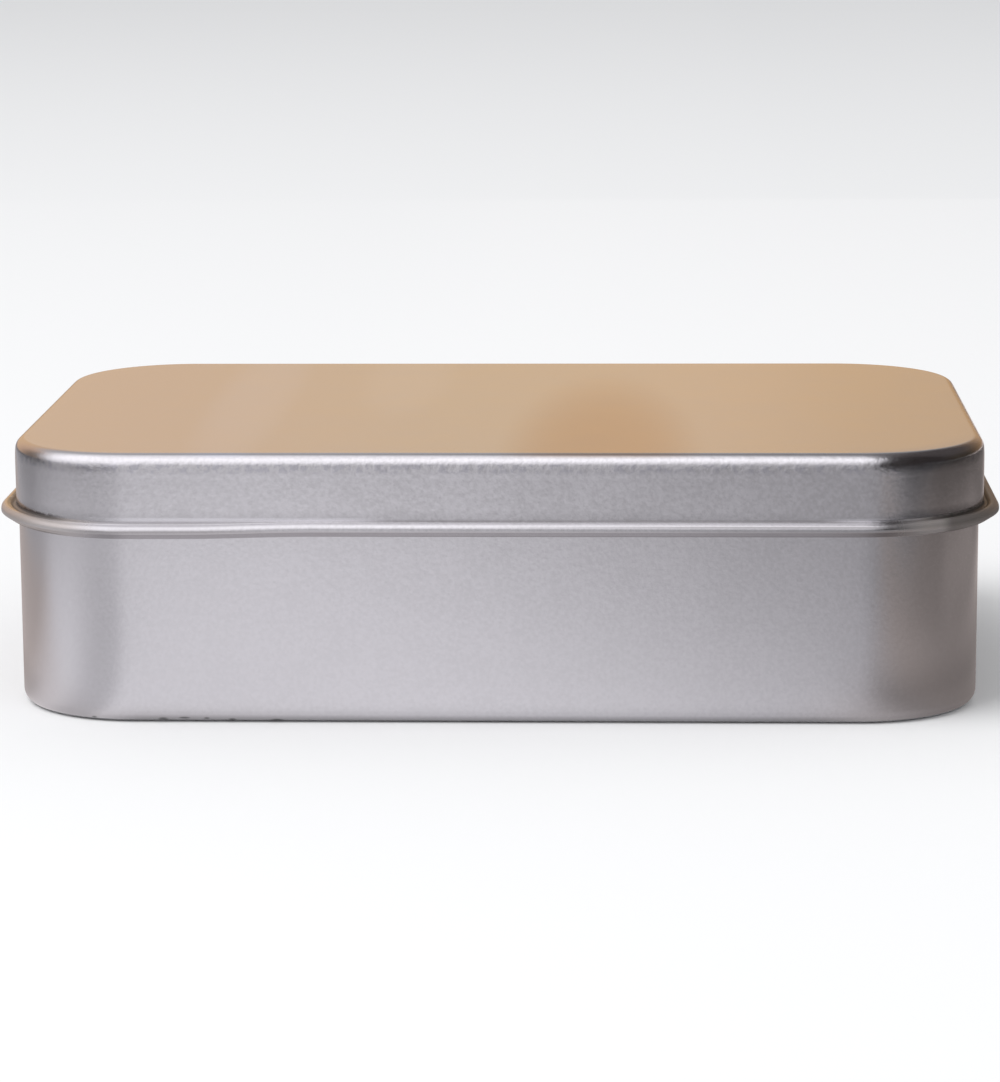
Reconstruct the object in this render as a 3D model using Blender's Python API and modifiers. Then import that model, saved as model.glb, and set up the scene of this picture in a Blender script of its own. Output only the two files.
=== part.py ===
# A rectangular soap tin with a slip lid, shut: a drawn body with round corners,
# and a pressed lid whose skirt ends in an outward curl.
#
# Frame: metres, +Z up. The origin is on the surface that the tin stands on, under the
# middle of its base. X runs along the long side, and -Y is the long side's front.

import math

import bmesh
import bpy

MM = 0.001

# Driving dimensions
BODY_LENGTH = 96.0 * MM
BODY_DEPTH = 62.0 * MM
CORNER_RADIUS = 12.4 * MM
TIN_HEIGHT = 26.8 * MM
BASE_RADIUS = 0.8 * MM
LID_EDGE_RADIUS = 1.2 * MM
SHEET = 0.2 * MM
FIT_GAP = 0.3 * MM
CURL_RADIUS = 0.825 * MM
CURL_BITE = 0.05 * MM
CURL_HEIGHT = 19.45 * MM

# Facets
CORNER_STEPS = 16
EDGE_STEPS = 6
CURL_ROUNDNESS = 3
RIM_TURN = math.radians(60)

# Worked out from them
LID_OFFSET = FIT_GAP + SHEET
CURL_OFFSET = FIT_GAP + CURL_BITE + CURL_RADIUS
BODY_TOP = TIN_HEIGHT - SHEET - FIT_GAP


def clear_scene():
    for obj in list(bpy.data.objects):
        bpy.data.objects.remove(obj, do_unlink=True)


def new_collection(name):
    collection = bpy.data.collections.new(name)
    bpy.context.scene.collection.children.link(collection)
    return collection


def move_to(obj, collection):
    for owner in list(obj.users_collection):
        owner.objects.unlink(obj)
    collection.objects.link(obj)


def tinplate(name, colour, roughness):
    material = bpy.data.materials.new(name)
    material.use_nodes = True
    shader = material.node_tree.nodes["Principled BSDF"]
    shader.inputs["Base Color"].default_value = (*colour, 1.0)
    shader.inputs["Metallic"].default_value = 1.0
    shader.inputs["Roughness"].default_value = roughness
    return material


def block(name, length, depth, low, high):
    """An upright box about the Z axis, with its real size in its mesh."""
    middle = (low + high) / 2
    bpy.ops.mesh.primitive_cube_add(size=1, location=(0, 0, middle))
    obj = bpy.context.active_object
    obj.name = name
    obj.scale = (length, depth, high - low)
    bpy.ops.object.transform_apply(location=False, rotation=False, scale=True)
    return obj


def is_upright(mesh, edge):
    low, high = (mesh.vertices[index].co for index in edge.vertices)
    return math.hypot(high.x - low.x, high.y - low.y) < abs(high.z - low.z)


def round_corners(obj, radius):
    """Rounds the four upright edges to the plan radius."""
    mesh = obj.data
    weights = mesh.attributes.new("bevel_weight_edge", "FLOAT", "EDGE")
    for edge in mesh.edges:
        weights.data[edge.index].value = 1.0 if is_upright(mesh, edge) else 0.0
    bevel = obj.modifiers.new("plan_corners", "BEVEL")
    bevel.limit_method = "WEIGHT"
    bevel.width = radius
    bevel.segments = CORNER_STEPS


def round_rims(obj, radius):
    """Rounds the level rims, where a wall meets the base or the top."""
    bevel = obj.modifiers.new("rims", "BEVEL")
    bevel.limit_method = "ANGLE"
    bevel.angle_limit = RIM_TURN
    bevel.width = radius
    bevel.segments = EDGE_STEPS


def make_body(collection, material):
    """The shut tin can't be seen into, so its body is solid up to the lid's panel."""
    body = block("body", BODY_LENGTH, BODY_DEPTH, 0.0, BODY_TOP)
    round_corners(body, CORNER_RADIUS)
    round_rims(body, BASE_RADIUS)
    body.data.shade_smooth()
    body.data.materials.append(material)
    move_to(body, collection)
    return body


def outline(offset):
    """Points of the rounded rectangle that lies this far outside the body's wall."""
    radius = CORNER_RADIUS + offset
    reach_x = BODY_LENGTH / 2 - CORNER_RADIUS
    reach_y = BODY_DEPTH / 2 - CORNER_RADIUS
    points = []
    for quarter, (side_x, side_y) in enumerate(((1, 1), (-1, 1), (-1, -1), (1, -1))):
        for step in range(CORNER_STEPS + 1):
            angle = math.radians(90) * (quarter + step / CORNER_STEPS)
            x = side_x * reach_x + radius * math.cos(angle)
            y = side_y * reach_y + radius * math.sin(angle)
            points.append((x, y))
    return points


def make_curl(collection):
    """The rolled edge of the lid's skirt: a solid ring round the tin, to be joined to it."""
    path = bpy.data.curves.new("curl_path", "CURVE")
    path.dimensions = "3D"
    path.bevel_depth = CURL_RADIUS
    path.bevel_resolution = CURL_ROUNDNESS
    points = outline(CURL_OFFSET)
    spline = path.splines.new("POLY")
    spline.points.add(len(points) - 1)
    spline.use_cyclic_u = True
    for point, (x, y) in zip(spline.points, points):
        point.co = (x, y, CURL_HEIGHT, 1.0)
    guide = bpy.data.objects.new("curl_guide", path)
    collection.objects.link(guide)
    bpy.context.view_layer.update()
    graph = bpy.context.evaluated_depsgraph_get()
    mesh = bpy.data.meshes.new_from_object(guide.evaluated_get(graph))
    curl = bpy.data.objects.new("curl", mesh)
    curl.matrix_world = guide.matrix_world
    collection.objects.link(curl)
    bpy.data.objects.remove(guide, do_unlink=True)
    curl.hide_render = True
    curl.display_type = "WIRE"
    return curl


def open_underneath(obj):
    """Takes out the one face that looks down."""
    mesh = bmesh.new()
    mesh.from_mesh(obj.data)
    mesh.normal_update()
    foot = min(mesh.faces, key=lambda face: face.normal.z)
    bmesh.ops.delete(mesh, geom=[foot], context="FACES_ONLY")
    mesh.to_mesh(obj.data)
    mesh.free()


def make_lid(collection, helpers, material):
    """One pressed sheet: panel, rounded edge, skirt, and the curl joined at its foot."""
    length = BODY_LENGTH + 2 * LID_OFFSET
    depth = BODY_DEPTH + 2 * LID_OFFSET
    lid = block("lid", length, depth, CURL_HEIGHT, TIN_HEIGHT)
    open_underneath(lid)
    round_corners(lid, CORNER_RADIUS + LID_OFFSET)
    round_rims(lid, LID_EDGE_RADIUS)
    sheet = lid.modifiers.new("sheet", "SOLIDIFY")
    sheet.thickness = SHEET
    sheet.offset = -1.0
    sheet.use_even_offset = True
    join = lid.modifiers.new("curl", "BOOLEAN")
    join.operation = "UNION"
    join.solver = "EXACT"
    join.object = make_curl(helpers)
    lid.data.shade_smooth()
    lid.data.materials.append(material)
    move_to(lid, collection)
    return lid


def main():
    clear_scene()
    tin = new_collection("soap_tin")
    helpers = new_collection("helpers")
    make_body(tin, tinplate("body_tinplate", (0.62, 0.61, 0.62), 0.34))
    make_lid(tin, helpers, tinplate("lid_tinplate", (0.66, 0.65, 0.66), 0.28))


main()
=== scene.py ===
import math

import bmesh
import bpy
from mathutils import Matrix, Vector


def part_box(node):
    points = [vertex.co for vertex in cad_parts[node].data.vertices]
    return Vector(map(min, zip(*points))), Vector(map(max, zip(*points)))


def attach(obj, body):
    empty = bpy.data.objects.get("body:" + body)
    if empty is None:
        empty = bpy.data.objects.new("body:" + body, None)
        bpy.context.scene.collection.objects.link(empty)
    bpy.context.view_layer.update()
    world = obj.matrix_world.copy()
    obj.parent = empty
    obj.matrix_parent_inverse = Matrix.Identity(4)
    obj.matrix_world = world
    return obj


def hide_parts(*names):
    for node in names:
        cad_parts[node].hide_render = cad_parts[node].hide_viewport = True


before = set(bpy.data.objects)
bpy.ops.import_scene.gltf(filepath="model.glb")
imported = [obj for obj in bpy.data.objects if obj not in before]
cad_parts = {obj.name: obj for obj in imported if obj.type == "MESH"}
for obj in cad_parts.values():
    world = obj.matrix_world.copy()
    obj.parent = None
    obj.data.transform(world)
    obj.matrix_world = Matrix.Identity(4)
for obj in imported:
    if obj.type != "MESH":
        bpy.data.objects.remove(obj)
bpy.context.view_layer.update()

mm = 0.001
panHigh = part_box("body")[1]
coverLow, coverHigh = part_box("lid")

tin = {
    "cornerRadius": 12.4 * mm,
    "cornerSteps": 28,
    "frontCuts": 14,
    "sideCuts": 8,
}
halfLength = panHigh.x
halfDepth = panHigh.y
frontRun = halfLength - tin["cornerRadius"]    # the straight part of half a long side
sideRun = halfDepth - tin["cornerRadius"]


# hand tools

def startEdit(piece):
    bpy.ops.object.select_all(action="DESELECT")
    bpy.context.view_layer.objects.active = piece
    piece.select_set(True)
    bpy.ops.object.mode_set(mode="EDIT")


def endEdit():
    bpy.ops.object.mode_set(mode="OBJECT")


def pick(piece, kind, test, first=None):
    # selects the vertices or edges that pass the test, and makes the one nearest to first active
    bpy.ops.mesh.select_mode(type=kind)
    bpy.ops.mesh.select_all(action="DESELECT")
    shape = bmesh.from_edit_mesh(piece.data)
    things = shape.verts if kind == "VERT" else shape.edges
    for thing in things:
        if test(thing):
            thing.select_set(True)
    if first is not None:
        shape.select_history.clear()
        shape.select_history.add(min(shape.verts, key=lambda vert: (vert.co - first).length))
    bmesh.update_edit_mesh(piece.data)


def pickNearest(piece, spot):
    shape = bmesh.from_edit_mesh(piece.data)
    nearest = min(shape.verts, key=lambda vert: (vert.co - spot).length)
    pick(piece, "VERT", lambda vert: vert == nearest)


def drawOn(step):
    bpy.ops.mesh.extrude_region_move(TRANSFORM_OT_translate={"value": step})


def drawStraight(step, cuts):
    for cut in range(cuts):
        drawOn(Vector(step) / cuts)


def turn(steps, degrees, centre, axis):
    # the operator counts its angle the other way round the axis
    bpy.ops.mesh.spin(steps=steps, angle=-math.radians(degrees), center=centre, axis=axis)


def bendSheet(steps, degrees, centre):
    # bends the drawn line across the front: 90 degrees takes upwards to outwards
    turn(steps, degrees, centre, (1, 0, 0))


def finishWith(piece, kind, **settings):
    modifier = piece.modifiers.new(kind.lower(), kind)
    for name, value in settings.items():
        setattr(modifier, name, value)
    bpy.context.view_layer.objects.active = piece
    bpy.ops.object.modifier_apply(modifier=modifier.name)


# The wall's section is drawn across the middle of the front, then run round the tin.

def inSection(out, height):
    # out is counted from the pan's wall
    return Vector((0, -halfDepth - out, height))


def facing(degrees):
    # 0 faces outwards, 90 upwards and -90 downwards
    return Vector((0, -math.cos(math.radians(degrees)), math.sin(math.radians(degrees))))


def arcOfRing(name, points, radius, centre, lowest, highest):
    # a ring that stands across the front, cut down to an arc between two facings
    bpy.ops.object.select_all(action="DESELECT")
    bpy.ops.mesh.primitive_circle_add(
        vertices=points,
        radius=radius,
        location=centre,
        rotation=(math.radians(90), 0, math.radians(90)),
    )
    piece = bpy.context.object
    piece.name = name
    bpy.ops.object.transform_apply(location=True, rotation=True, scale=True)
    startEdit(piece)
    slack = 90 / points

    def outsideArc(vert):
        turned = vert.co - centre
        angle = math.degrees(math.atan2(turned.z, -turned.y))
        return not lowest - slack < angle < highest + slack

    pick(piece, "VERT", outsideArc)
    bpy.ops.mesh.delete(type="VERT")
    return piece


def runRoundTin(piece):
    # half the front, one corner and half the side, then mirrored twice
    bpy.ops.mesh.select_all(action="SELECT")
    drawStraight((frontRun, 0, 0), tin["frontCuts"])
    turn(tin["cornerSteps"], 90, (frontRun, -sideRun, 0), (0, 0, 1))
    drawStraight((0, sideRun, 0), tin["sideCuts"])
    endEdit()
    finishWith(piece, "MIRROR", use_axis=(True, True, False), merge_threshold=0.001 * mm)


def fillPanel(piece, height):
    # closes the level opening at this height with a grid that starts at a corner
    diagonal = tin["cornerRadius"] * math.sqrt(0.5)
    corner = Vector((frontRun + diagonal, -sideRun - diagonal, height))
    span = 2 * tin["frontCuts"] + tin["cornerSteps"]
    nearHeight = 0.01 * mm
    pick(piece, "EDGE", lambda edge: edge.is_boundary and all(
        abs(vert.co.z - height) < nearHeight for vert in edge.verts), corner)
    bpy.ops.mesh.fill_grid(span=span)


def pointOutwards(piece):
    # one sheet's normals all turn together, so its highest face tells which way they lie
    bpy.ops.mesh.select_all(action="SELECT")
    bpy.ops.mesh.normals_make_consistent(inside=False)
    shape = bmesh.from_edit_mesh(piece.data)
    highest = max(shape.faces, key=lambda face: face.calc_center_median().z)
    if highest.normal.z < 0:
        bpy.ops.mesh.flip_normals()


# the pan: drawn from one sheet, with a rounded foot

pan = {
    "footRadius": 1.3 * mm,
    "footPoints": 40,
    "rimBelowTop": 0.1 * mm,
    "wallCuts": 10,
}


def makePan():
    foot = pan["footRadius"]
    piece = arcOfRing("tinPan", pan["footPoints"], foot, inSection(-foot, foot), -90, 0)
    pickNearest(piece, inSection(0, foot))
    rim = panHigh.z - pan["rimBelowTop"]
    drawStraight((0, 0, rim - foot), pan["wallCuts"])
    runRoundTin(piece)
    startEdit(piece)
    fillPanel(piece, 0)
    fillPanel(piece, rim)
    pointOutwards(piece)
    endEdit()
    piece.data.shade_smooth()
    return piece


# the cover: a pressed sheet whose lower edge flares out and is rolled down and in

cover = {
    "sheet": 0.18 * mm,
    "skirtOut": 0.36 * mm,         # the skirt's outer face, from the pan's wall
    "rollRadius": 0.62 * mm,
    "rollOut": 1.26 * mm,
    "rollAboveLow": 0.99 * mm,
    "rollPoints": 96,
    "flareFacing": 138.75,         # where the flare runs into the roll
    "flareSteps": 10,
    "uprightRun": 0.14 * mm,       # its front is upright for a little way
    "nipRadius": 0.12 * mm,        # then it turns under faster
    "nipSteps": 8,
    "slopeFacing": -56,            # then it slopes in under itself
    "slopeRun": 0.96 * mm,
    "tuckRadius": 0.25 * mm,
    "tuckTurn": 150,
    "tuckSteps": 12,
    "skirtCuts": 4,
    "leanRadius": 12 * mm,         # the skirt's top leans in by a few degrees
    "leanDegrees": 5,
    "leanSteps": 3,
    "edgeRadius": 1.2 * mm,
    "edgeSteps": 12,
    "sidePlay": 0.12 * mm,         # it sits a little off the middle of the pan
    "sag": 0.24 * mm,              # the rolled edge hangs lower along the front's left part
    "sagFrom": -40 * mm,
    "sagTo": -29 * mm,
    "sagFades": 13 * mm,
    "sagLeaves": 0.1 * mm,         # what is this far above the flare stays where it is
}


def rollUnder(piece, middle):
    # from the roll's front down, and in under it
    roll = cover["rollRadius"]
    pickNearest(piece, middle + roll * facing(0))
    drawOn((0, 0, -cover["uprightRun"]))
    nip = middle + (roll - cover["nipRadius"]) * facing(0) - Vector((0, 0, cover["uprightRun"]))
    bendSheet(cover["nipSteps"], -cover["slopeFacing"], nip)
    inwards = facing(cover["slopeFacing"] - 90)
    drawOn(cover["slopeRun"] * inwards)
    slopeEnd = nip + cover["nipRadius"] * facing(cover["slopeFacing"]) + cover["slopeRun"] * inwards
    tuck = slopeEnd - cover["tuckRadius"] * facing(cover["slopeFacing"])
    bendSheet(cover["tuckSteps"], cover["tuckTurn"], tuck)


def riseToPanel(piece, middle):
    # from the roll's back: the flare, the skirt and the rounded top edge
    roll = cover["rollRadius"]
    slant = math.cos(math.radians(cover["flareFacing"]))
    reach = cover["rollOut"] - cover["skirtOut"]
    flareRadius = (reach + roll * slant) / (1 - slant)
    flare = middle + (roll + flareRadius) * facing(cover["flareFacing"])
    pickNearest(piece, middle + roll * facing(cover["flareFacing"]))
    bendSheet(cover["flareSteps"], cover["flareFacing"], flare)

    lean = math.radians(cover["leanDegrees"])
    edge = cover["edgeRadius"]
    leanRise = cover["leanRadius"] * math.sin(lean)
    leanFoot = coverHigh.z - edge * (1 - math.sin(lean)) - leanRise
    leanMiddle = inSection(cover["skirtOut"] - cover["leanRadius"], leanFoot)
    drawStraight((0, 0, leanFoot - flare.z), cover["skirtCuts"])
    bendSheet(cover["leanSteps"], -cover["leanDegrees"], leanMiddle)
    leanIn = cover["leanRadius"] * (1 - math.cos(lean))
    leanTop = inSection(cover["skirtOut"] - leanIn, leanFoot + leanRise)
    edgeMiddle = leanTop - edge * facing(cover["leanDegrees"])
    bendSheet(cover["edgeSteps"], cover["leanDegrees"] - 90, edgeMiddle)
    return flare.z


def letRollSag(piece, flareHeight):
    # the skirt and the panel are hidden meanwhile, so that only the roll moves
    pick(piece, "VERT", lambda vert: vert.co.z > flareHeight + cover["sagLeaves"])
    bpy.ops.mesh.hide(unselected=False)
    pick(piece, "VERT", lambda vert: (
        vert.co.y < -halfDepth
        and vert.co.z < flareHeight
        and cover["sagFrom"] < vert.co.x < cover["sagTo"]))
    bpy.ops.transform.translate(
        value=(0, 0, -cover["sag"]),
        use_proportional_edit=True,
        proportional_edit_falloff="SMOOTH",
        proportional_size=cover["sagFades"],
    )
    bpy.ops.mesh.reveal(select=False)


def makeCover():
    roll = cover["rollRadius"]
    middle = inSection(cover["rollOut"], coverLow.z + cover["rollAboveLow"])
    piece = arcOfRing("tinCover", cover["rollPoints"], roll, middle, 0, cover["flareFacing"])
    rollUnder(piece, middle)
    flareHeight = riseToPanel(piece, middle)
    runRoundTin(piece)
    startEdit(piece)
    fillPanel(piece, coverHigh.z)
    pointOutwards(piece)
    letRollSag(piece, flareHeight)
    endEdit()
    finishWith(piece, "SOLIDIFY", thickness=cover["sheet"], offset=-1.0, use_even_offset=True)
    bpy.ops.object.select_all(action="DESELECT")
    piece.select_set(True)
    bpy.ops.transform.translate(value=(cover["sidePlay"], 0, 0))
    bpy.ops.object.transform_apply(location=True, rotation=False, scale=False)
    piece.data.shade_smooth()
    return piece


# shader sums and nodes

class Wire:
    # a socket that can be added, subtracted and multiplied

    def __init__(self, bench, socket):
        self.bench = bench
        self.socket = socket

    def __add__(self, other):
        return self.bench.math("ADD", self, other)

    def __radd__(self, other):
        return self.bench.math("ADD", other, self)

    def __sub__(self, other):
        return self.bench.math("SUBTRACT", self, other)

    def __rsub__(self, other):
        return self.bench.math("SUBTRACT", other, self)

    def __mul__(self, other):
        return self.bench.math("MULTIPLY", self, other)

    def __rmul__(self, other):
        return self.bench.math("MULTIPLY", other, self)


class Bench:
    # a material, or the world, and the nodes that are laid out on it

    def __init__(self, name, world=False):
        self.owner = bpy.data.worlds.new(name) if world else bpy.data.materials.new(name)
        self.owner.use_nodes = True
        self.tree = self.owner.node_tree
        self.tree.nodes.clear()

    def node(self, kind, settings=None, inputs=None, output=0):
        made = self.tree.nodes.new(kind)
        for name, value in (settings or {}).items():
            if name == "stops":
                ramp = made.color_ramp
                while len(ramp.elements) < len(value):
                    ramp.elements.new(0.5)
                for element, (place, colour) in zip(ramp.elements, value):
                    element.position = place
                    element.color = (*colour, 1)
            else:
                setattr(made, name, value)
        for name, value in (inputs or {}).items():
            if isinstance(value, Wire):
                self.tree.links.new(value.socket, made.inputs[name])
            else:
                made.inputs[name].default_value = value
        return Wire(self, made.outputs[output]) if made.outputs else None

    def place(self):
        return self.node("ShaderNodeTexCoord", output="Object")

    def axes(self, unit):
        # x, y and z, counted in this unit
        split = self.node("ShaderNodeSeparateXYZ", None, {0: self.place()})
        return [Wire(self, socket) * (1 / unit) for socket in split.socket.node.outputs]

    def math(self, operation, first, second=0):
        return self.node("ShaderNodeMath", {"operation": operation}, {0: first, 1: second})

    def fade(self, value, start, end):
        # 0 at the start and 1 at the end
        return self.node("ShaderNodeMapRange", {"interpolation_type": "SMOOTHSTEP"}, {
            "Value": value, "From Min": start, "From Max": end})

    def share(self, value, start, end, amount):
        return self.fade(value, start, end) * amount

    def band(self, value, start, full, weakens, end):
        # 1 between full and weakens, and 0 outside start and end
        return self.fade(value, start, full) * self.fade(value, end, weakens)

    def noise(self, size, detail):
        return self.node("ShaderNodeTexNoise", None, {
            "Vector": self.place(), "Scale": 1 / size, "Detail": detail, "Roughness": 0.5})

    def inEllipse(self, across, up, middle, half):
        # 1 in the middle and 0 at the rim
        sideways = (across - middle[0]) * (1 / half[0])
        upwards = (up - middle[1]) * (1 / half[1])
        return self.fade(sideways * sideways + upwards * upwards, 1.0, 0.0)

    def blend(self, factor, first, second):
        return self.node("ShaderNodeMix", {"data_type": "RGBA"}, {
            0: factor, 6: first, 7: second}, output=2)

    def scaled(self, colour, factor):
        return self.node("ShaderNodeVectorMath", {"operation": "SCALE"}, {0: colour, "Scale": factor})

    def show(self, shader, kind="ShaderNodeOutputMaterial"):
        self.node(kind, None, {"Surface": shader})
        return self.owner


class Spot:
    # where a point is, in millimetres: away is from the tin's middle, along its length,
    # and out is outwards from the pan's wall

    def __init__(self, bench):
        self.x, self.y, self.z = bench.axes(mm)
        self.away = bench.math("ABSOLUTE", self.x)
        corner = tin["cornerRadius"] / mm
        alongX = bench.math("MAXIMUM", self.away - frontRun / mm)
        alongY = bench.math("MAXIMUM", bench.math("ABSOLUTE", self.y) - sideRun / mm)
        self.out = bench.math("SQRT", alongX * alongX + alongY * alongY) - corner


# The tinplate's places and heights are in millimetres, as in Spot. Two numbers are where
# a thing starts and where it is full. A third is how much it is then, and four numbers are
# a band's, which also weakens and ends.

plate = {
    "bright": (0.715, 0.704, 0.72, 1),
    "dull": (0.592, 0.583, 0.592, 1),
    "contrast": 0.4,
    # the speckle is weaker on the level top, at the foot, at the corners and at the left
    "speckRange": (0.5, 1.0),
    "speckLevelLoss": 0.8,
    "speckFootLoss": (16, 4, 0.3),
    "speckCornerLoss": (37, 43, 0.5),
    "speckLeftLoss": (0, -35, 0.3),
    "roughness": 0.2,
    "roughnessSpread": 0.04,
    "levelHeights": (26.3, 26.75),     # the top, with the last of its rounded edge
    "panelHeights": (26.74, 26.79),    # the flat panel alone
    "haze": 0.2,                   # the panel is this much less metallic
    "fineSize": 0.38 * mm,
    "grainSize": 0.4 * mm,
    "grainDepth": 0.012 * mm,
    "peelSize": 0.75 * mm,
    "peelHeights": (24.2, 25.6),
    "peelShare": 3,                # how much deeper than the grain
    "cloudSize": 5 * mm,
    "smoothing": 0.8,              # of the relief, on the level top and at the ends
    "smoothEnds": (37, 42),
    "grimeAndPaintedLight": 0.0,
    # painted reflections of the room on the panel: middle, half width, half depth, colour and strength
    "paintedReflections": [],
    # small dark spots along the foot's front: middle across and up, half width and half height
    "footSpots": [
        (-39.4, 0.4, 0.35, 0.15),
        (-32.5, 0.35, 0.6, 0.25),
        (-30.4, 0.5, 0.7, 0.15),
        (-28.2, 0.45, 0.35, 0.15),
        (-25.7, 0.3, 0.5, 0.2),
        (-21.3, 0.25, 0.8, 0.2),
    ],
    "footSpotColour": (0.12, 0.12, 0.12, 1),
    "footSpotStrength": 0.7,
    "footSpotFront": (-28, -29),
}

coverPlate = dict(plate)
coverPlate.update({
    "contrast": 0.75,
    "grimeAndPaintedLight": 0.8,
    # painted reflections of the room on the panel
    "paintedReflections": [
        (10.5, -33, 11, 60, (0.52, 0.38, 0.28, 1), 0.7),
        (-26.5, 5, 5.5, 60, (0.69, 0.71, 0.79, 1), 0.8),
        (-11, 18, 6, 32, (0.69, 0.70, 0.75, 1), 0.7),
    ],
    "footSpots": [],
})

# the rolled edge's wear, and the painted shade, highlight and reflection on and around it
edgeWearAndPaintedLight = {
    # the rolled edge, whose dull part starts lower at the left
    "edgeTop": (20.5, 20.3),
    "edgeFoot": (18.2, 18.6),
    "edgeLower": (-10, -25, 0.2),
    "dulled": (0.5, 0.49, 0.5, 1),
    "dulledStrength": 0.4,
    "dulledCorners": (12, 38, 0.35),
    # painted shade on the roll's underside
    "undersideShade": (0.47, 0.45, 0.45, 1),
    "undersideShadeHeights": (19.65, 19.45),
    # its worn corners, rougher and less metallic, with a painted brownish reflection
    "wornAndReflection": (0.42, 0.35, 0.3, 1),
    "wornAndReflectionLength": (37.5, 42.5),
    "wornAndReflectionStrength": 0.6,
    "wornRoughness": 0.25,
    "wornMetal": 0.4,              # they are this much less metallic
    # painted shade: a dark line that narrows the roll's highlight along its right half
    "shadedLine": (0.22, 0.21, 0.21, 1),
    "shadedLineHeights": (19.84, 19.92, 20.0, 20.08),
    "shadedLineLength": (-8, 25, 36, 40),
    "shadedLineStrength": 0.8,
    # painted shade in the crevice above it
    "creviceShade": (0.09, 0.08, 0.075, 1),
    "creviceShadeHeights": (20.5, 20.25),
    "creviceShadeUnevenness": 0.6,
    "creviceShadeDepth": (1.3, 1.05),
    "creviceShadeLength": (-20, -4, 33, 37),
    "creviceShadeCorners": (41, 44),
    "creviceShadeStrength": 0.35,
    "creviceShadeCornerStrength": 0.85,
    # painted shade on the rolled edge's right end
    "rightEnd": (0.08, 0.07, 0.06, 1),
    "rightEndLength": (43.3, 44.7),
    "rightEndFront": (0, -10),
    "rightEndStrength": 0.7,
    # a painted highlight: a bright line where the skirt starts to flare, in two stretches
    "flareHighlight": (0.86, 0.85, 0.88, 1),
    "flareHighlightHeights": (20.15, 20.3, 20.45, 20.65),
    "flareHighlightDepth": (0.9, 0.6),
    "flareHighlightStretches": [(-42, -35, -15, -9), (31, 35, 40, 43)],
    # mottling under the rounded top edge
    "mottled": (0.42, 0.42, 0.47, 1),
    "mottledHeights": (24.6, 25.4, 25.7, 26.0),
    "mottledPatches": (0.62, 0.78),
    "mottledStrength": 0.45,
}


def speckle(bench, look, spot, cloud, fine, level):
    speck = bench.fade(cloud * 0.5 + fine, *look["speckRange"]) - 0.5
    speck = speck * (1 - bench.share(spot.z, *look["speckFootLoss"])) * (1 - level * look["speckLevelLoss"])
    speck = speck * (1 - bench.share(spot.away, *look["speckCornerLoss"]))
    speck = speck * (1 - bench.share(spot.x, *look["speckLeftLoss"]))
    return bench.blend(speck * look["contrast"] + 0.5, look["dull"], look["bright"])


def addReflectionsAndFootSpots(bench, look, spot, level, colour):
    # painted reflections on the panel
    for across, along, wide, deep, tint, strength in look["paintedReflections"]:
        paintedReflection = bench.inEllipse(spot.x, spot.y, (across, along), (wide, deep))
        colour = bench.blend(paintedReflection * level * strength, colour, tint)
    inFront = bench.fade(spot.y, *look["footSpotFront"])
    # small dark spots along the foot's front
    for across, up, wide, high in look["footSpots"]:
        footSpot = bench.inEllipse(spot.x, spot.z, (across, up), (wide, high)) * inFront
        colour = bench.blend(footSpot * look["footSpotStrength"], colour, look["footSpotColour"])
    return colour


def dullAndShadeRolledEdge(bench, spot, roll, wornAndReflection, colour):
    # duller than the sheet, and more so at the corners, with painted shade under it and along a line on its
    # right half, and a painted brownish reflection on the worn corners
    dulled = edgeWearAndPaintedLight["dulledStrength"] + bench.share(spot.away, *edgeWearAndPaintedLight["dulledCorners"])
    colour = bench.blend(roll * dulled, colour, edgeWearAndPaintedLight["dulled"])
    # the worn corners, with a painted brownish reflection
    colour = bench.blend(wornAndReflection * edgeWearAndPaintedLight["wornAndReflectionStrength"], colour, edgeWearAndPaintedLight["wornAndReflection"])
    # painted shade under the roll
    undersideShade = roll * bench.fade(spot.z, *edgeWearAndPaintedLight["undersideShadeHeights"])
    colour = bench.blend(undersideShade, colour, edgeWearAndPaintedLight["undersideShade"])
    # painted shade: a dark line along the roll's right half
    shadedLine = bench.band(spot.z, *edgeWearAndPaintedLight["shadedLineHeights"]) * bench.band(spot.x, *edgeWearAndPaintedLight["shadedLineLength"])
    return bench.blend(shadedLine * roll * edgeWearAndPaintedLight["shadedLineStrength"], colour, edgeWearAndPaintedLight["shadedLine"])


def shadeCrevice(bench, look, spot, roll, peel, colour):
    # painted shade in the crevice above the roll, and on the roll's right end
    atCorner = bench.fade(spot.away, *edgeWearAndPaintedLight["creviceShadeCorners"])
    unevenHeight = spot.z + (peel - 0.5) * atCorner * edgeWearAndPaintedLight["creviceShadeUnevenness"]
    crevice = bench.fade(unevenHeight, *edgeWearAndPaintedLight["creviceShadeHeights"]) * bench.fade(spot.out, *edgeWearAndPaintedLight["creviceShadeDepth"])
    alongFront = bench.band(spot.x, *edgeWearAndPaintedLight["creviceShadeLength"])
    amount = alongFront * edgeWearAndPaintedLight["creviceShadeStrength"] + atCorner * edgeWearAndPaintedLight["creviceShadeCornerStrength"]
    colour = bench.blend(crevice * amount * look["grimeAndPaintedLight"], colour, edgeWearAndPaintedLight["creviceShade"])
    # painted shade on the roll's right end
    rightEnd = bench.fade(spot.x, *edgeWearAndPaintedLight["rightEndLength"]) * bench.fade(spot.y, *edgeWearAndPaintedLight["rightEndFront"])
    return bench.blend(rightEnd * roll * edgeWearAndPaintedLight["rightEndStrength"], colour, edgeWearAndPaintedLight["rightEnd"])


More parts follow.
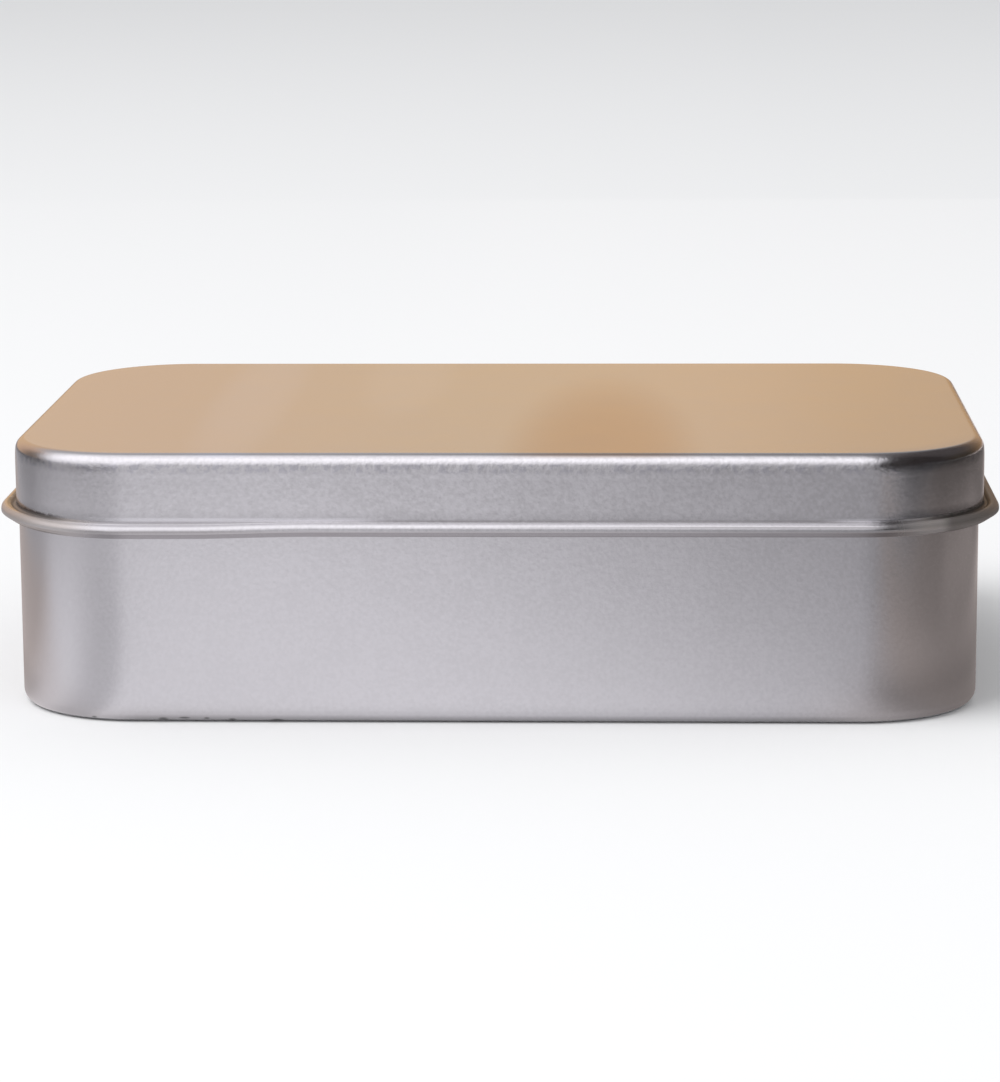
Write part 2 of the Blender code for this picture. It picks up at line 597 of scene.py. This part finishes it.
def paintFlareHighlight(bench, look, spot, colour):
    # a painted highlight where the skirt starts to flare
    left, right = [bench.band(spot.x, *stretch) for stretch in edgeWearAndPaintedLight["flareHighlightStretches"]]
    line = bench.band(spot.z, *edgeWearAndPaintedLight["flareHighlightHeights"]) * bench.fade(spot.out, *edgeWearAndPaintedLight["flareHighlightDepth"])
    return bench.blend(line * (left + right) * look["grimeAndPaintedLight"], colour, edgeWearAndPaintedLight["flareHighlight"])


def mottle(bench, spot, peel, fine, colour):
    patches = bench.fade(peel + fine * 0.3, *edgeWearAndPaintedLight["mottledPatches"])
    mottled = bench.band(spot.z, *edgeWearAndPaintedLight["mottledHeights"]) * patches
    return bench.blend(mottled * edgeWearAndPaintedLight["mottledStrength"], colour, edgeWearAndPaintedLight["mottled"])


def relief(bench, look, spot, grain, peel, level):
    # grain all over, and orange peel in the skirt's top, both smoother at the ends and on the panel
    smooth = bench.math("MAXIMUM", level, bench.fade(spot.away, *look["smoothEnds"])) * look["smoothing"]
    peelHeight = peel * bench.fade(spot.z, *look["peelHeights"]) * (1 - level) * look["peelShare"]
    return bench.node("ShaderNodeBump", None, {
        "Height": (grain + peelHeight) * (1 - smooth),
        "Strength": 1.0,
        "Distance": look["grainDepth"],
    })


def tinplate(name, look):
    bench = Bench(name)
    spot = Spot(bench)
    grain = bench.noise(look["grainSize"], 3.0)
    peel = bench.noise(look["peelSize"], 2.0)
    cloud = bench.noise(look["cloudSize"], 4.0)
    fine = bench.noise(look["fineSize"], 2.0)
    level = bench.fade(spot.z, *look["levelHeights"])
    panel = bench.fade(spot.z, *look["panelHeights"])
    edgeHeight = spot.z + bench.share(spot.x, *edgeWearAndPaintedLight["edgeLower"])
    # the rolled edge, whose mask also carries painted shade and a painted reflection
    roll = bench.fade(edgeHeight, *edgeWearAndPaintedLight["edgeTop"]) * bench.fade(spot.z, *edgeWearAndPaintedLight["edgeFoot"]) * look["grimeAndPaintedLight"]
    # the worn corners, which also carry a painted brownish reflection
    wornAndReflection = bench.fade(spot.away, *edgeWearAndPaintedLight["wornAndReflectionLength"]) * roll
    colour = speckle(bench, look, spot, cloud, fine, level)
    colour = addReflectionsAndFootSpots(bench, look, spot, level, colour)
    colour = dullAndShadeRolledEdge(bench, spot, roll, wornAndReflection, colour)
    colour = shadeCrevice(bench, look, spot, roll, peel, colour)
    colour = paintFlareHighlight(bench, look, spot, colour)
    colour = mottle(bench, spot, peel, fine, colour)
    roughness = look["roughness"] + (cloud - 0.5) * look["roughnessSpread"] + wornAndReflection * edgeWearAndPaintedLight["wornRoughness"]
    return bench.show(bench.node("ShaderNodeBsdfPrincipled", None, {
        "Base Color": colour,
        "Metallic": 1 - wornAndReflection * edgeWearAndPaintedLight["wornMetal"] - panel * look["haze"],
        "Roughness": roughness,
        "Normal": relief(bench, look, spot, grain, peel, level),
    }))


def dress(piece, material, node):
    piece.data.materials.clear()
    piece.data.materials.append(material)
    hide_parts(node)
    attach(piece, "root")


tinPan = makePan()
dress(tinPan, tinplate("tinplatePan", plate), "body")
print("pan modelled:", len(tinPan.data.polygons), "faces")
tinCover = makeCover()
dress(tinCover, tinplate("tinplateCover", coverPlate), "lid")
print("cover modelled:", len(tinCover.data.polygons), "faces")


# the studio: a pale floor, and a painted tent and a table top that only the metal sees

studio = {
    "floorSize": 8.0,
    "floorColour": (0.86, 0.86, 0.86, 1),
    "floorRoughness": 0.9,
    "floorShine": 0.1,
    "skyColour": (0.97, 0.98, 1.0, 1),
    "skyStrength": 0.75,
    "keyPower": 14.0,
    "keySize": 1.0,
    "keyPlace": (-0.7, -0.5, 1.3),
    "tentRadius": 2.9,
    "tentSegments": 48,
    "tentRings": 24,
    "tableSize": 4.0,
    "tableRise": 0.3 * mm,
}


def makeFloor():
    bpy.ops.object.select_all(action="DESELECT")
    bpy.ops.mesh.primitive_plane_add(size=studio["floorSize"])
    floor = bpy.context.object
    floor.name = "floor"
    bench = Bench("paleFloor")
    floor.data.materials.append(bench.show(bench.node("ShaderNodeBsdfPrincipled", None, {
        "Base Color": studio["floorColour"],
        "Roughness": studio["floorRoughness"],
        "Specular IOR Level": studio["floorShine"],
    })))


def makeSky():
    bench = Bench("paleRoom", world=True)
    sky = bench.node("ShaderNodeBackground", None, {
        "Color": studio["skyColour"], "Strength": studio["skyStrength"]})
    bpy.context.scene.world = bench.show(sky, "ShaderNodeOutputWorld")
    bench.owner.cycles_visibility.glossy = False
    key = bpy.data.objects.new("key", bpy.data.lights.new("key", "AREA"))
    key.data.energy = studio["keyPower"]
    key.data.size = studio["keySize"]
    key.location = studio["keyPlace"]
    key.rotation_euler = (-Vector(studio["keyPlace"])).to_track_quat("-Z", "Y").to_euler()
    key.visible_glossy = False
    bpy.context.scene.collection.objects.link(key)


def onlyReflected(piece, paint):
    # a glowing thing that the metal mirrors: the camera and the floor don't see it
    piece.data.materials.clear()
    piece.data.materials.append(paint(Bench(piece.name + "Glow")))
    piece.data.materials[0].cycles.emission_sampling = "NONE"
    for ray in ("camera", "diffuse", "transmission", "volume_scatter", "shadow"):
        setattr(piece, "visible_" + ray, False)


def makeTent():
    bpy.ops.object.select_all(action="DESELECT")
    bpy.ops.mesh.primitive_uv_sphere_add(
        segments=studio["tentSegments"],
        ring_count=studio["tentRings"],
        radius=studio["tentRadius"],
    )
    bpy.context.object.name = "tent"
    onlyReflected(bpy.context.object, tentPaint)


def makeTableTop():
    bpy.ops.object.select_all(action="DESELECT")
    bpy.ops.mesh.primitive_plane_add(size=studio["tableSize"], location=(0, 0, studio["tableRise"]))
    bpy.context.object.name = "tableTop"
    bpy.ops.object.transform_apply(location=True)
    onlyReflected(bpy.context.object, tablePaint)


# the tent's places are shares of its radius

tent = {
    # a big soft window over the left and front, brighter higher up
    "windowGlow": 0.53,
    "windowRise": 0.98,
    "riseUp": 1.12,
    "riseLeft": 0.36,
    "windowTopLoss": (0.9, 1.0, 0.2),
    "windowTint": (1, 0.985, 1.03),
    "lowLeftGlow": 0.25,
    "lowLeftLength": (-0.5, -0.35, -0.16, -0.05),
    "lowLeftHeights": (0.6, 0.3),
    "rightEdge": (0.07, -0.25),
    "rightEdgeBack": 0.34,
    "rightEdgeUp": 0.24,
    "backEdge": 0.25,
    "backEdgeUp": 0.4,
    "windowBack": -0.25,           # the window is at its full from here forwards
    "windowBackUp": 0.2,
    # what is above the wall, and the dark room in front of it
    "upperLeft": (0.52, 0.51, 0.53, 1),
    "upperRight": (0.08, 0.07, 0.07, 1),
    "upperLength": (-0.25, 0.35),
    "darkSide": (0.035, 0.03, 0.03, 1),
    "darkSideDepth": (-0.2, 0.2),
    # the tan wall behind, from its left end to its right end
    "wall": [
        (0.06, (0.22, 0.17, 0.14)),
        (0.15, (0.6, 0.41, 0.3)),
        (0.25, (0.758, 0.511, 0.337)),
        (0.37, (0.769, 0.517, 0.309)),
        (0.43, (0.731, 0.483, 0.281)),
        (0.475, (0.78, 0.511, 0.253)),
        (0.515, (0.814, 0.517, 0.253)),
        (0.535, (0.736, 0.45, 0.192)),
        (0.63, (0.52, 0.34, 0.21)),
        (0.75, (0.30, 0.19, 0.11)),
        (0.92, (0.05, 0.04, 0.03)),
    ],
    # its top edge is higher and softer at the left, and softer at the right
    "wallFull": 0.2,
    "wallFullLeft": (-0.05, -0.28, 0.25),
    "wallFullRight": (0.05, 0.3, -0.1),
    "wallEnd": 0.3,
    "wallEndLeft": (-0.05, -0.28, 0.4),
    "wallEndRight": (0.05, 0.3, 0.3),
}


def windowLight(bench, x, z):
    rise = bench.fade(z * tent["riseUp"] - x * tent["riseLeft"], 0, 1)
    lowLeft = bench.band(x, *tent["lowLeftLength"]) * bench.fade(z, *tent["lowLeftHeights"])
    loss = bench.share(z, *tent["windowTopLoss"])
    glow = tent["windowGlow"] + rise * tent["windowRise"] - loss + lowLeft * tent["lowLeftGlow"]
    red, green, blue = [glow * share for share in tent["windowTint"]]
    return bench.node("ShaderNodeCombineColor", None, {"Red": red, "Green": green, "Blue": blue})


def windowShape(bench, x, y, z):
    rightEdge = bench.fade(x + y * tent["rightEdgeBack"] - z * tent["rightEdgeUp"], *tent["rightEdge"])
    start = tent["backEdge"] + z * tent["backEdgeUp"]
    full = tent["windowBack"] + z * tent["windowBackUp"]
    return rightEdge * bench.fade(y, start, full)


def wallBehind(bench, x, z):
    upper = bench.blend(bench.fade(x, *tent["upperLength"]), tent["upperLeft"], tent["upperRight"])
    wall = bench.node("ShaderNodeValToRGB", {"stops": tent["wall"]}, {"Fac": x * 0.5 + 0.5})
    end = tent["wallEnd"] + bench.share(x, *tent["wallEndLeft"]) + bench.share(x, *tent["wallEndRight"])
    full = tent["wallFull"] + bench.share(x, *tent["wallFullLeft"]) + bench.share(x, *tent["wallFullRight"])
    return bench.blend(bench.fade(z, end, full), upper, wall)


def tentPaint(bench):
    x, y, z = bench.axes(studio["tentRadius"])
    behind = bench.fade(y, *tent["darkSideDepth"])
    room = bench.blend(behind, tent["darkSide"], wallBehind(bench, x, z))
    scenery = bench.blend(windowShape(bench, x, y, z), room, windowLight(bench, x, z))
    return bench.show(bench.node("ShaderNodeEmission", None, {"Color": scenery, "Strength": 1.0}))


# The table top is in millimetres as in Spot, and ahead is counted forwards from the tin's
# front. The numbers are as in the tinplate's: start, full and amount, or a band's four.

table = {
    "front": -31,
    # a pool of light, whose right edge runs off to the left and widens
    "poolGlow": 0.9,
    "poolReach": 200,
    "poolStart": -10,
    "poolStartSlope": -0.38,
    "poolEnd": 92,
    "poolEndSlope": -0.18,
    # it weakens ahead and to the left, and grows again far ahead
    "aheadLoss": (80, 190, 0.28),
    "farAhead": (190, 290),
    "farAheadGlow": 0.15,
    "farMiddle": (-200, -100, -60, 10),
    "farMiddleGlow": 0.18,
    "leftLoss": (-20, -200, 0.3),
    "farLeftLoss": (-150, -260, 0.12),
    # shade on the left, as a part of the light
    "leftShade": (-130, -165, 0.19),
    "farLeftShade": (-190, -350, 0.45),
    "farLeftDepth": (-150, 0),
    "farBackShade": (-118, -160, 0.25),
    "farBackDepth": (-5, 25),
    "behindLeftLength": (0, -50),
    "behindLeftDepth": (-40, -5),
    "behindLeftShade": (-200, -95, 0.42),
    # a darker ray from the tin's left corner, between angles in radians, less and less ahead
    "rayCorner": (-38, -22),
    "rayStart": (0, 0.35),
    "rayWeakens": 0.5,
    "rayEnd": 1.15,
    "rayShade": 0.28,
    "rayAhead": (60, 130),
    "rayWeakensLess": 0.25,
    "rayEndLess": 0.65,
    "rayShadeLess": 0.2,
    # what is left of the light on the right: some more in front, and less beside, beyond
    # and behind the tin
    "rightGlow": 0.29,
    "darkest": 0.1,
    "besideLoss": (120, 70, 0.08),
    "besideDepth": (-50, -10),
    "beyondLoss": (110, 150, 0.24),
    "beyondAhead": (30, 90),
    "farRightLoss": (140, 175, 0.2),
    "farthestRightLoss": (200, 350, 0.07),
    "frontalAhead": (80, 120),
    "frontalGlow": 0.08,
    "frontalRight": (45, 80, 0.05),
    "dipLoss": (72, 90, 0.055),
    "dipDepth": (-80, -60, -40, -20),
    "behindLoss": (35, 75, 0.12),
    "behindLength": (40, 55),
    # darkness at the tin's foot, counted outwards from its wall, and beside its corners
    "footShade": (6, 0, 0.17),
    "underShade": (0.6, -0.9, 0.5),
    "footLeftLess": (-34, -42, 0.95),
    "footRightLess": (31, 39, 0.65),
    "rightShade": (34, 8, 0.5),
    "rightShadeLength": (32, 46),
    "leftCornerShade": (16, 3, 0.22),
    "leftCornerLength": (-40, -50),
    "leftCornerDepth": (-26, -19),
    # the light is cool in front, and brownish at the right and behind on the left
    "cool": (1.0, 0.982, 1.035, 1),
    "brown": (1.1, 0.97, 0.93, 1),
    "brownRight": (12, 42),
    "brownRightTurn": 0.4,
    "coolAhead": (40, 70),
    "coolLength": (85, 110),
    "brownLeft": (-130, -105),
}


def leftOfTable(bench, spot, ahead, behindLeft):
    x, y = spot.x, spot.y
    far = table["farAheadGlow"] + bench.band(x, *table["farMiddle"]) * table["farMiddleGlow"]
    light = table["poolGlow"] - bench.share(ahead, *table["aheadLoss"])
    light = light + bench.fade(ahead, *table["farAhead"]) * far
    light = light - bench.share(x, *table["leftLoss"]) - bench.share(x, *table["farLeftLoss"])
    farLeft = bench.share(x, *table["farLeftShade"]) * bench.fade(y, *table["farLeftDepth"])
    farBack = bench.share(x, *table["farBackShade"]) * bench.fade(y, *table["farBackDepth"])
    light = light * (1 - bench.share(x, *table["leftShade"]) - farLeft) * (1 - farBack)
    return light * (1 - behindLeft * bench.share(x, *table["behindLeftShade"]))


def darkerRay(bench, spot, ahead):
    cornerX, cornerY = table["rayCorner"]
    around = bench.math("ARCTAN2", cornerX - spot.x, cornerY - spot.y)
    ebb = bench.fade(ahead, *table["rayAhead"])
    weakens = table["rayWeakens"] - ebb * table["rayWeakensLess"]
    end = table["rayEnd"] - ebb * table["rayEndLess"]
    ray = bench.band(around, *table["rayStart"], weakens, end)
    return ray * (table["rayShade"] - ebb * table["rayShadeLess"])


def rightOfTable(bench, spot, ahead):
    x, y = spot.x, spot.y
    beside = bench.share(x, *table["besideLoss"]) * bench.fade(y, *table["besideDepth"])
    beyond = bench.share(x, *table["beyondLoss"]) * bench.fade(ahead, *table["beyondAhead"])
    beyond = beyond + bench.share(x, *table["farRightLoss"])
    frontal = table["frontalGlow"] + bench.share(x, *table["frontalRight"])
    frontal = frontal * bench.fade(ahead, *table["frontalAhead"])
    dip = bench.share(x, *table["dipLoss"]) * bench.band(y, *table["dipDepth"])
    behind = bench.share(y, *table["behindLoss"]) * bench.fade(x, *table["behindLength"])
    light = table["rightGlow"] + frontal - beyond - beside - dip - behind
    light = bench.math("MAXIMUM", light, table["darkest"])
    return light - bench.share(x, *table["farthestRightLoss"])


def poolShare(bench, spot, ahead):
    # 1 in the pool of light and 0 to its right
    reach = bench.math("MINIMUM", ahead, table["poolReach"])
    start = reach * table["poolStartSlope"] + table["poolStart"]
    end = reach * table["poolEndSlope"] + table["poolEnd"]
    return bench.fade(bench.math("DIVIDE", spot.x - start, end - start), 1, 0)


def shadeByTin(bench, spot, light):
    x, out = spot.x, spot.out
    foot = bench.share(out, *table["footShade"]) + bench.share(out, *table["underShade"])
    less = bench.share(x, *table["footLeftLess"]) + bench.share(x, *table["footRightLess"])
    right = bench.share(out, *table["rightShade"]) * bench.fade(x, *table["rightShadeLength"])
    left = bench.share(out, *table["leftCornerShade"]) * bench.fade(x, *table["leftCornerLength"])
    left = left * bench.fade(spot.y, *table["leftCornerDepth"])
    return light * (1 - foot * (1 - less)) * (1 - right) * (1 - left)


def tableTint(bench, spot, ahead, behindLeft):
    brownLeft = behindLeft * bench.fade(spot.x, *table["brownLeft"])
    cool = bench.fade(ahead, *table["coolAhead"]) * bench.fade(spot.x, *table["coolLength"])
    brownRight = bench.fade(spot.x + spot.y * table["brownRightTurn"], *table["brownRight"]) * (1 - cool)
    return bench.blend(bench.math("MAXIMUM", brownLeft, brownRight), table["cool"], table["brown"])


def tablePaint(bench):
    spot = Spot(bench)
    ahead = table["front"] - spot.y
    behindLeft = bench.fade(spot.y, *table["behindLeftDepth"])
    behindLeft = behindLeft * bench.fade(spot.x, *table["behindLeftLength"])
    pool = poolShare(bench, spot, ahead)
    left = leftOfTable(bench, spot, ahead, behindLeft) * (1 - darkerRay(bench, spot, ahead))
    light = left * pool + rightOfTable(bench, spot, ahead) * (1 - pool)
    light = shadeByTin(bench, spot, light)
    glow = bench.scaled(tableTint(bench, spot, ahead, behindLeft), light)
    return bench.show(bench.node("ShaderNodeEmission", None, {"Color": glow, "Strength": 1.0}))


makeFloor()
makeSky()
makeTent()
makeTableTop()
print("studio set")


# the camera

view = {
    "place": (15.0 * mm, -392.0 * mm, 87.8 * mm),
    "left": 2.26,              # degrees turned to the left
    "down": 10.893,
    "roll": -0.354,
    "focalPixels": 3792.5,
    "longSidePixels": 1082,
    "sensorMillimetres": 36.0,
    "clipStart": 0.01,
    "clipEnd": 20.0,
}


def makeCamera():
    camera = bpy.data.objects.new("camera", bpy.data.cameras.new("camera"))
    bpy.context.scene.collection.objects.link(camera)
    camera.data.sensor_width = view["sensorMillimetres"]
    camera.data.lens = view["focalPixels"] / view["longSidePixels"] * view["sensorMillimetres"]
    camera.data.clip_start = view["clipStart"]
    camera.data.clip_end = view["clipEnd"]
    camera.matrix_world = (
        Matrix.Translation(view["place"])
        @ Matrix.Rotation(math.radians(view["left"]), 4, "Z")
        @ Matrix.Rotation(math.radians(90 - view["down"]), 4, "X")
        @ Matrix.Rotation(math.radians(view["roll"]), 4, "Z")
    )
    bpy.context.scene.camera = camera


makeCamera()
bpy.context.scene.view_settings.view_transform = "Standard"
print("camera placed")
